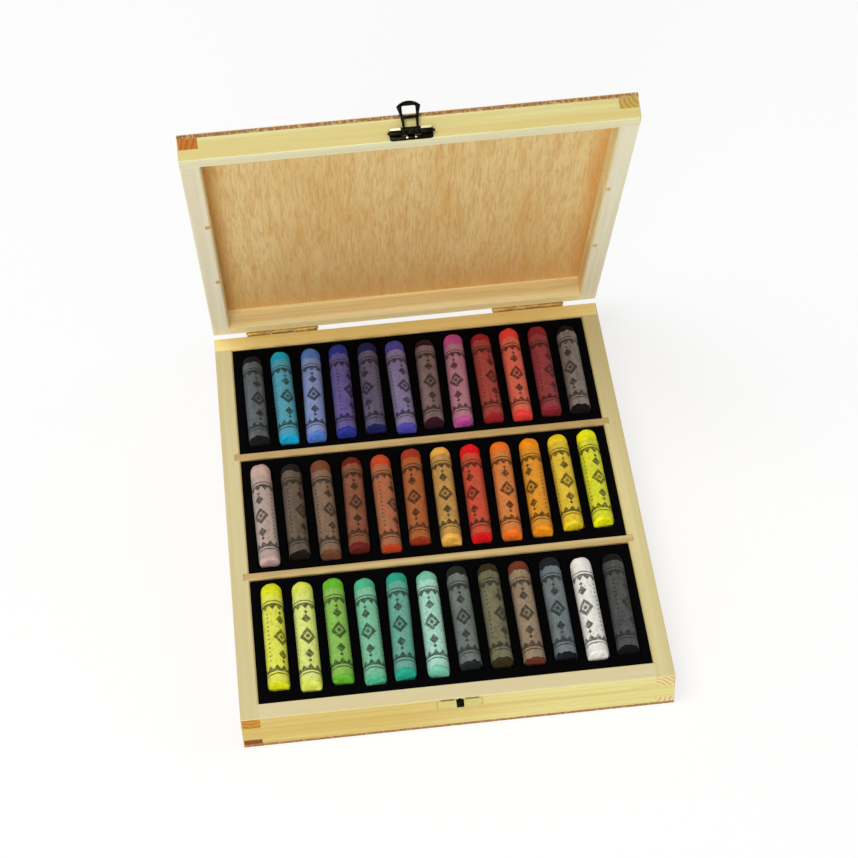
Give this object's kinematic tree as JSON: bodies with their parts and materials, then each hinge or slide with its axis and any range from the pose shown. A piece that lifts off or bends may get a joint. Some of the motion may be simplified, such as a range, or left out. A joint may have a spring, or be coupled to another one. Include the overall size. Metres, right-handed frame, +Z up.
{
  "type": "wooden pastel box",
  "caption": "Shallow hinged pine box with finger-jointed corners, a latch, dividers and foam that holds rows of paper-wrapped soft pastel sticks",
  "frame": {"origin": "centre of the base's underside", "axes": "+X to the right seen from the latch side, +Y towards the hinges, +Z up"},
  "size_m": [0.24, 0.3146, 0.3011],
  "materials": {
    "pine": "satin",
    "plywood": "matte",
    "foam": "matte",
    "paper": "matte",
    "hinge_brass": "satin",
    "catch_brass": "satin",
    "dark_bronze": "satin",
    "pastel_lemon": "matte",
    "pastel_pale_lime": "matte",
    "pastel_leaf_green": "matte",
    "pastel_sea_green": "matte",
    "pastel_teal": "matte",
    "pastel_mint": "matte",
    "pastel_slate_green": "matte",
    "pastel_olive": "matte",
    "pastel_red_brown": "matte",
    "pastel_blue_black": "matte",
    "pastel_white": "matte",
    "pastel_black": "matte",
    "pastel_pale_pink": "matte",
    "pastel_umber": "matte",
    "pastel_brown": "matte",
    "pastel_rust": "matte",
    "pastel_orange_red": "matte",
    "pastel_burnt_orange": "matte",
    "pastel_ochre": "matte",
    "pastel_scarlet": "matte",
    "pastel_orange": "matte",
    "pastel_amber": "matte",
    "pastel_golden_yellow": "matte",
    "pastel_bright_yellow": "matte",
    "pastel_charcoal": "matte",
    "pastel_turquoise": "matte",
    "pastel_sky_blue": "matte",
    "pastel_ultramarine": "matte",
    "pastel_indigo": "matte",
    "pastel_violet": "matte",
    "pastel_plum": "matte",
    "pastel_magenta": "matte",
    "pastel_crimson": "matte",
    "pastel_vermilion": "matte",
    "pastel_carmine": "matte",
    "pastel_sepia": "matte"
  },
  "bodies": {
    "base": {"base_front_rail": "pine", "base_rear_rail": "pine", "base_left_rail": "pine", "base_right_rail": "pine", "base_bottom_panel": "plywood", "front_divider": "pine", "rear_divider": "pine", "front_foam": "foam", "middle_foam": "foam", "rear_foam": "foam", "paper_wrappers": "paper", "base_hinge_leaves": "hinge_brass", "hinge_pins": "hinge_brass", "catch_plate": "catch_brass", "catch_hook": "dark_bronze", "pastel_lemon": "pastel_lemon", "pastel_pale_lime": "pastel_pale_lime", "pastel_leaf_green": "pastel_leaf_green", "pastel_sea_green": "pastel_sea_green", "pastel_teal": "pastel_teal", "pastel_mint": "pastel_mint", "pastel_slate_green": "pastel_slate_green", "pastel_olive": "pastel_olive", "pastel_red_brown": "pastel_red_brown", "pastel_blue_black": "pastel_blue_black", "pastel_white": "pastel_white", "pastel_black": "pastel_black", "pastel_pale_pink": "pastel_pale_pink", "pastel_umber": "pastel_umber", "pastel_brown": "pastel_brown", "pastel_rust": "pastel_rust", "pastel_orange_red": "pastel_orange_red", "pastel_burnt_orange": "pastel_burnt_orange", "pastel_ochre": "pastel_ochre", "pastel_scarlet": "pastel_scarlet", "pastel_orange": "pastel_orange", "pastel_amber": "pastel_amber", "pastel_golden_yellow": "pastel_golden_yellow", "pastel_bright_yellow": "pastel_bright_yellow", "pastel_charcoal": "pastel_charcoal", "pastel_turquoise": "pastel_turquoise", "pastel_sky_blue": "pastel_sky_blue", "pastel_ultramarine": "pastel_ultramarine", "pastel_indigo": "pastel_indigo", "pastel_violet": "pastel_violet", "pastel_plum": "pastel_plum", "pastel_magenta": "pastel_magenta", "pastel_crimson": "pastel_crimson", "pastel_vermilion": "pastel_vermilion", "pastel_carmine": "pastel_carmine", "pastel_sepia": "pastel_sepia"},
    "lid": {"lid_front_rail": "pine", "lid_rear_rail": "pine", "lid_left_rail": "pine", "lid_right_rail": "pine", "lid_panel": "plywood", "lid_hinge_leaves": "hinge_brass", "latch_plate": "dark_bronze", "latch_pin": "dark_bronze"},
    "loop": {"latch_loop": "dark_bronze"}
  },
  "joints": [
    {"name": "lid_hinge", "type": "hinge", "parent": "base", "child": "lid", "pos_m": [0, 0.1501, 0.02515], "axis": [-1, 0, 0], "range_deg": [-62.4, 117.6]},
    {"name": "latch_swing", "type": "hinge", "parent": "lid", "child": "loop", "pos_m": [0.0005, 0.0147, 0.29266], "axis": [1, 0, 0], "range_deg": [0, 180]}
  ]
}
